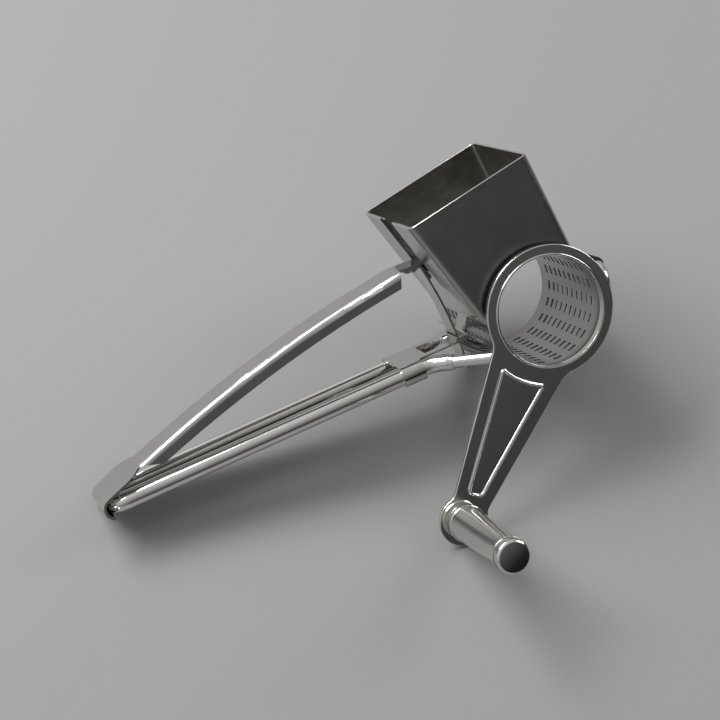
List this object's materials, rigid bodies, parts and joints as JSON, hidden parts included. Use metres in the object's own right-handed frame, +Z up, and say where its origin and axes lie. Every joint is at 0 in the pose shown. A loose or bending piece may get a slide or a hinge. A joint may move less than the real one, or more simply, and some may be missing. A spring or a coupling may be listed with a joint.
{
  "type": "rotary drum grater",
  "caption": "Hand-held rotary grater of stamped stainless steel: a hopper over a perforated drum turned by a crank, with a hinged pressing lever.",
  "frame": {"origin": "bottom centre of the bounding box of the tool as it lies on a table", "axes": "+Z up from the table; the handle runs roughly along -X; the crank side faces -Y and down"},
  "size_m": [0.2122, 0.1682, 0.1034],
  "materials": {
    "polished_stainless": "polished",
    "satin_stainless": "satin"
  },
  "bodies": {
    "frame": {"hopper_shell": "satin_stainless", "hopper_guide_plate": "satin_stainless", "handle_tube": "polished_stainless", "cradle_wire": "polished_stainless", "saddle_plate": "satin_stainless", "saddle_eyelet": "polished_stainless"},
    "lever": {"lever_channel": "satin_stainless", "slot_shutter": "satin_stainless", "shutter_rivets": "polished_stainless", "pusher_shoe": "satin_stainless", "pusher_lid": "satin_stainless", "pusher_rivets": "polished_stainless"},
    "crank": {"grating_drum": "satin_stainless", "crank_arm": "satin_stainless", "knob_spindle": "polished_stainless", "knob_washer": "polished_stainless", "knob_collar": "polished_stainless", "knob_retainer": "polished_stainless"},
    "knob": {"knob_sleeve": "polished_stainless", "knob_inner_bush": "satin_stainless", "knob_outer_bush": "satin_stainless", "knob_end_cap": "polished_stainless"}
  },
  "joints": [
    {"name": "lever_hinge", "type": "hinge", "parent": "frame", "child": "lever", "pos_m": [-0.10049, 0.02441, 0.01173], "axis": [-0.1044, -0.7526, 0.6501], "range_deg": [0, 30]},
    {"name": "drum_spin", "type": "hinge", "parent": "frame", "child": "crank", "pos_m": [0.07419, 0.02446, 0.03985], "axis": [-0.1044, -0.7526, 0.6501], "continuous": true},
    {"name": "knob_spin", "type": "hinge", "parent": "crank", "child": "knob", "pos_m": [0.01374, -0.05963, 0.02508], "axis": [-0.1044, -0.7526, 0.6501], "continuous": true}
  ]
}
